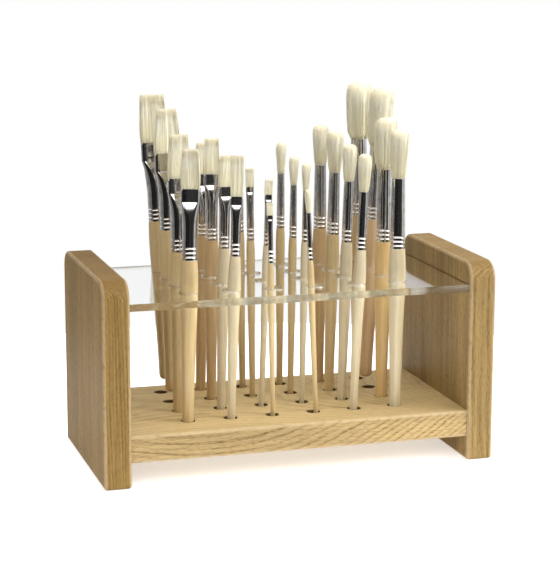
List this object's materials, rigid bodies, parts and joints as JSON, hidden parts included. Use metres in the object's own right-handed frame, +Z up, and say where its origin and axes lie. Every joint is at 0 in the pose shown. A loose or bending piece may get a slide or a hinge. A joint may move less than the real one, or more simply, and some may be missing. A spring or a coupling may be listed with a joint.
{
  "type": "brush caddy",
  "caption": "Wooden caddy holding artists' brushes upright in rows, with a drilled base board, a clear drilled shelf and two solid end panels.",
  "frame": {"origin": "on the floor under the middle of the caddy", "axes": "+X along the length, +Y towards the back, +Z up"},
  "size_m": [0.281, 0.1366, 0.2594],
  "materials": {
    "oak": "satin clear coat",
    "acrylic": "clear, polished edges",
    "dowel": "bare",
    "cream_wood": "bare, sanded",
    "straw_wood": "bare, sanded",
    "gold_wood": "bare, sanded",
    "tan_wood": "bare, sanded",
    "pink_wood": "bare, sanded",
    "ferrule": "polished, bright plated"
  },
  "bodies": {
    "caddy": {"left_end_panel": "oak", "right_end_panel": "oak", "base_board": "oak", "clear_shelf": "acrylic", "left_base_dowels": "dowel", "right_base_dowels": "dowel"},
    "flat_brush_12": {"flat_brush_12_handle": "straw_wood", "flat_brush_12_head": "ferrule"},
    "flat_brush_11": {"flat_brush_11_handle": "straw_wood", "flat_brush_11_head": "ferrule"},
    "flat_brush_10": {"flat_brush_10_handle": "straw_wood", "flat_brush_10_head": "ferrule"},
    "flat_brush_09": {"flat_brush_09_handle": "straw_wood", "flat_brush_09_head": "ferrule"},
    "flat_brush_08": {"flat_brush_08_handle": "tan_wood", "flat_brush_08_head": "ferrule"},
    "flat_brush_07": {"flat_brush_07_handle": "tan_wood", "flat_brush_07_head": "ferrule"},
    "flat_brush_06": {"flat_brush_06_handle": "cream_wood", "flat_brush_06_head": "ferrule"},
    "flat_brush_05": {"flat_brush_05_handle": "cream_wood", "flat_brush_05_head": "ferrule"},
    "flat_brush_04": {"flat_brush_04_handle": "straw_wood", "flat_brush_04_head": "ferrule"},
    "flat_brush_03": {"flat_brush_03_handle": "straw_wood", "flat_brush_03_head": "ferrule"},
    "flat_brush_02": {"flat_brush_02_handle": "cream_wood", "flat_brush_02_head": "ferrule"},
    "flat_brush_01": {"flat_brush_01_handle": "straw_wood", "flat_brush_01_head": "ferrule"},
    "round_brush_01": {"round_brush_01_handle": "straw_wood", "round_brush_01_head": "ferrule"},
    "round_brush_02": {"round_brush_02_handle": "cream_wood", "round_brush_02_head": "ferrule"},
    "round_brush_03": {"round_brush_03_handle": "straw_wood", "round_brush_03_head": "ferrule"},
    "round_brush_04": {"round_brush_04_handle": "straw_wood", "round_brush_04_head": "ferrule"},
    "round_brush_05": {"round_brush_05_handle": "cream_wood", "round_brush_05_head": "ferrule"},
    "round_brush_06": {"round_brush_06_handle": "cream_wood", "round_brush_06_head": "ferrule"},
    "round_brush_07": {"round_brush_07_handle": "straw_wood", "round_brush_07_head": "ferrule"},
    "round_brush_08": {"round_brush_08_handle": "tan_wood", "round_brush_08_head": "ferrule"},
    "round_brush_09": {"round_brush_09_handle": "cream_wood", "round_brush_09_head": "ferrule"},
    "round_brush_10": {"round_brush_10_handle": "gold_wood", "round_brush_10_head": "ferrule"},
    "round_brush_11": {"round_brush_11_handle": "pink_wood", "round_brush_11_head": "ferrule"},
    "round_brush_12": {"round_brush_12_handle": "tan_wood", "round_brush_12_head": "ferrule"}
  },
  "joints": [
    {"name": "flat_brush_12_lift", "type": "slide", "parent": "caddy", "child": "flat_brush_12", "axis": [-0.0419, 0, 0.9991], "range_m": [0, 0.105]},
    {"name": "flat_brush_11_lift", "type": "slide", "parent": "caddy", "child": "flat_brush_11", "axis": [-0.0105, 0, 0.9999], "range_m": [0, 0.105]},
    {"name": "flat_brush_10_lift", "type": "slide", "parent": "caddy", "child": "flat_brush_10", "axis": [0.007, 0, 1], "range_m": [0, 0.105]},
    {"name": "flat_brush_09_lift", "type": "slide", "parent": "caddy", "child": "flat_brush_09", "axis": [0.0175, 0, 0.9998], "range_m": [0, 0.105]},
    {"name": "flat_brush_08_lift", "type": "slide", "parent": "caddy", "child": "flat_brush_08", "axis": [0.0209, 0.007, 0.9998], "range_m": [0, 0.105]},
    {"name": "flat_brush_07_lift", "type": "slide", "parent": "caddy", "child": "flat_brush_07", "axis": [0.0052, -0.0052, 1], "range_m": [0, 0.105]},
    {"name": "flat_brush_06_lift", "type": "slide", "parent": "caddy", "child": "flat_brush_06", "axis": [0.0244, 0.0052, 0.9997], "range_m": [0, 0.105]},
    {"name": "flat_brush_05_lift", "type": "slide", "parent": "caddy", "child": "flat_brush_05", "axis": [0.0262, -0.0035, 0.9997], "range_m": [0, 0.105]},
    {"name": "flat_brush_04_lift", "type": "slide", "parent": "caddy", "child": "flat_brush_04", "axis": [-0.014, 0.0087, 0.9999], "range_m": [0, 0.105]},
    {"name": "flat_brush_03_lift", "type": "slide", "parent": "caddy", "child": "flat_brush_03", "axis": [-0.0157, -0.0087, 0.9998], "range_m": [0, 0.105]},
    {"name": "flat_brush_02_lift", "type": "slide", "parent": "caddy", "child": "flat_brush_02", "axis": [0.0349, 0.0052, 0.9994], "range_m": [0, 0.105]},
    {"name": "flat_brush_01_lift", "type": "slide", "parent": "caddy", "child": "flat_brush_01", "axis": [-0.0209, -0.014, 0.9997], "range_m": [0, 0.105]},
    {"name": "round_brush_01_lift", "type": "slide", "parent": "caddy", "child": "round_brush_01", "axis": [-0.0471, -0.0105, 0.9988], "range_m": [0, 0.105]},
    {"name": "round_brush_02_lift", "type": "slide", "parent": "caddy", "child": "round_brush_02", "axis": [0.0175, 0.0087, 0.9998], "range_m": [0, 0.105]},
    {"name": "round_brush_03_lift", "type": "slide", "parent": "caddy", "child": "round_brush_03", "axis": [0.0105, -0.0052, 0.9999], "range_m": [0, 0.105]},
    {"name": "round_brush_04_lift", "type": "slide", "parent": "caddy", "child": "round_brush_04", "axis": [0.0087, 0.014, 0.9999], "range_m": [0, 0.105]},
    {"name": "round_brush_05_lift", "type": "slide", "parent": "caddy", "child": "round_brush_05", "axis": [0.0349, -0.007, 0.9994], "range_m": [0, 0.105]},
    {"name": "round_brush_06_lift", "type": "slide", "parent": "caddy", "child": "round_brush_06", "axis": [0.0279, 0.0052, 0.9996], "range_m": [0, 0.105]},
    {"name": "round_brush_07_lift", "type": "slide", "parent": "caddy", "child": "round_brush_07", "axis": [0.0175, -0.007, 0.9998], "range_m": [0, 0.105]},
    {"name": "round_brush_08_lift", "type": "slide", "parent": "caddy", "child": "round_brush_08", "axis": [0.0052, 0.0087, 0.9999], "range_m": [0, 0.105]},
    {"name": "round_brush_09_lift", "type": "slide", "parent": "caddy", "child": "round_brush_09", "axis": [0.0017, 0, 1], "range_m": [0, 0.105]},
    {"name": "round_brush_10_lift", "type": "slide", "parent": "caddy", "child": "round_brush_10", "axis": [0.0026, 0, 1], "range_m": [0, 0.105]},
    {"name": "round_brush_11_lift", "type": "slide", "parent": "caddy", "child": "round_brush_11", "axis": [0.0436, 0, 0.999], "range_m": [0, 0.105]},
    {"name": "round_brush_12_lift", "type": "slide", "parent": "caddy", "child": "round_brush_12", "axis": [-0.0105, 0, 0.9999], "range_m": [0, 0.105]}
  ]
}
